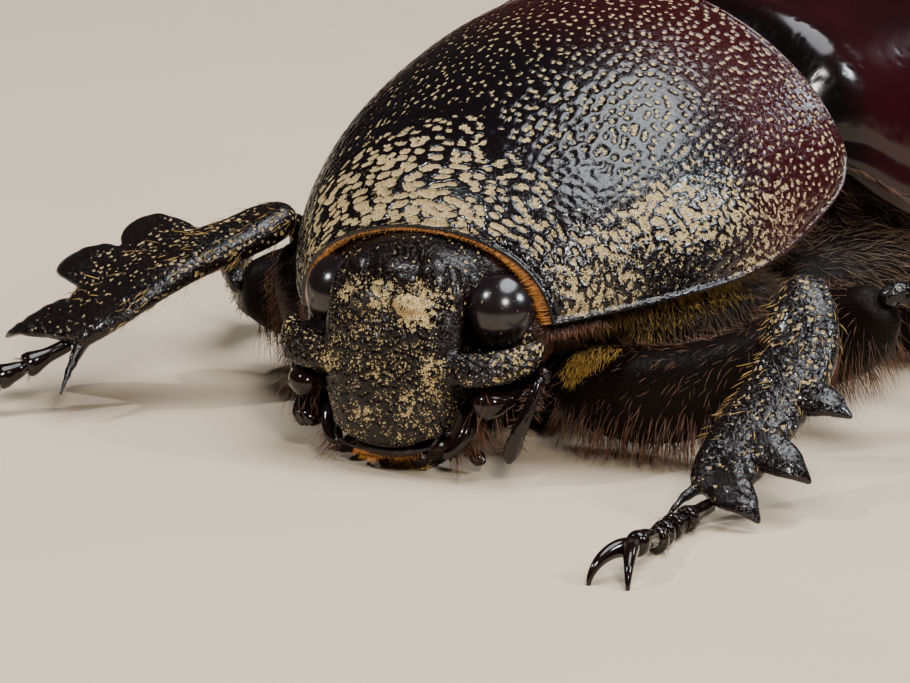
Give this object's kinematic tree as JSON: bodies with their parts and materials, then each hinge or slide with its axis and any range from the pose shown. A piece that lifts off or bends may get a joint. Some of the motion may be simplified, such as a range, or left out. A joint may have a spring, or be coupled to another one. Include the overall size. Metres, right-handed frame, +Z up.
{
  "type": "rhinoceros beetle, hornless female",
  "caption": "Life-size standing model of a hornless female rhinoceros beetle with its head bowed to the floor, domed pitted thorax, smooth wing cases and toothed forelegs.",
  "frame": {"origin": "centre of the whole model's box in plan, on the floor it stands on", "axes": "+Z up, the head looks along -Y, the beetle's left side is at +X"},
  "size_m": [0.0422, 0.0508, 0.0149],
  "materials": {
    "abdomen": "dark brown hairy shell",
    "antenna_left": "dark brown hairy shell",
    "antenna_right": "dark brown hairy shell",
    "claws_fore_left": "polished black claw",
    "claws_fore_right": "polished black claw",
    "claws_hind_left": "polished black claw",
    "claws_hind_right": "polished black claw",
    "claws_mid_left": "polished black claw",
    "claws_mid_right": "polished black claw",
    "club_left": "dark brown hairy shell",
    "club_right": "dark brown hairy shell",
    "coxa_fore_left": "dark brown hairy shell",
    "coxa_fore_right": "dark brown hairy shell",
    "coxa_hind_left": "dark brown hairy shell",
    "coxa_hind_right": "dark brown hairy shell",
    "coxa_mid_left": "dark brown hairy shell",
    "coxa_mid_right": "dark brown hairy shell",
    "elytron_left": "polished deep maroon wing case",
    "elytron_right": "polished deep maroon wing case",
    "eye_left": "dark grey-brown glossy compound eye",
    "eye_right": "dark grey-brown glossy compound eye",
    "femur_fore_left": "dark brown hairy shell",
    "femur_fore_right": "dark brown hairy shell",
    "femur_hind_left": "dark brown hairy shell",
    "femur_hind_right": "dark brown hairy shell",
    "femur_mid_left": "dark brown hairy shell",
    "femur_mid_right": "dark brown hairy shell",
    "head": "black pitted shell",
    "labrum": "amber soft mouth skin",
    "mandible_left": "polished black claw",
    "mandible_right": "polished black claw",
    "metathorax": "dark brown hairy shell",
    "mouthparts": "amber soft mouth skin",
    "palp_left": "amber soft mouth skin",
    "palp_right": "amber soft mouth skin",
    "pronotum": "black pitted shell",
    "prosternum": "dark brown hairy shell",
    "pygidium": "dark brown hairy shell",
    "scutellum": "polished deep maroon wing case",
    "tarsus_fore_left": "black pitted shell",
    "tarsus_fore_right": "black pitted shell",
    "tarsus_hind_left": "black pitted shell",
    "tarsus_hind_right": "black pitted shell",
    "tarsus_mid_left": "black pitted shell",
    "tarsus_mid_right": "black pitted shell",
    "tibia_fore_left": "black pitted shell",
    "tibia_fore_right": "black pitted shell",
    "tibia_hind_left": "black pitted shell",
    "tibia_hind_right": "black pitted shell",
    "tibia_mid_left": "black pitted shell",
    "tibia_mid_right": "black pitted shell"
  },
  "bodies": {
    "root": {"abdomen": "abdomen", "antenna_left": "antenna_left", "antenna_right": "antenna_right", "claws_fore_left": "claws_fore_left", "claws_fore_right": "claws_fore_right", "claws_hind_left": "claws_hind_left", "claws_hind_right": "claws_hind_right", "claws_mid_left": "claws_mid_left", "claws_mid_right": "claws_mid_right", "club_left": "club_left", "club_right": "club_right", "coxa_fore_left": "coxa_fore_left", "coxa_fore_right": "coxa_fore_right", "coxa_hind_left": "coxa_hind_left", "coxa_hind_right": "coxa_hind_right", "coxa_mid_left": "coxa_mid_left", "coxa_mid_right": "coxa_mid_right", "elytron_left": "elytron_left", "elytron_right": "elytron_right", "eye_left": "eye_left", "eye_right": "eye_right", "femur_fore_left": "femur_fore_left", "femur_fore_right": "femur_fore_right", "femur_hind_left": "femur_hind_left", "femur_hind_right": "femur_hind_right", "femur_mid_left": "femur_mid_left", "femur_mid_right": "femur_mid_right", "head": "head", "labrum": "labrum", "mandible_left": "mandible_left", "mandible_right": "mandible_right", "metathorax": "metathorax", "mouthparts": "mouthparts", "palp_left": "palp_left", "palp_right": "palp_right", "pronotum": "pronotum", "prosternum": "prosternum", "pygidium": "pygidium", "scutellum": "scutellum", "tarsus_fore_left": "tarsus_fore_left", "tarsus_fore_right": "tarsus_fore_right", "tarsus_hind_left": "tarsus_hind_left", "tarsus_hind_right": "tarsus_hind_right", "tarsus_mid_left": "tarsus_mid_left", "tarsus_mid_right": "tarsus_mid_right", "tibia_fore_left": "tibia_fore_left", "tibia_fore_right": "tibia_fore_right", "tibia_hind_left": "tibia_hind_left", "tibia_hind_right": "tibia_hind_right", "tibia_mid_left": "tibia_mid_left", "tibia_mid_right": "tibia_mid_right"}
  },
  "joints": []
}
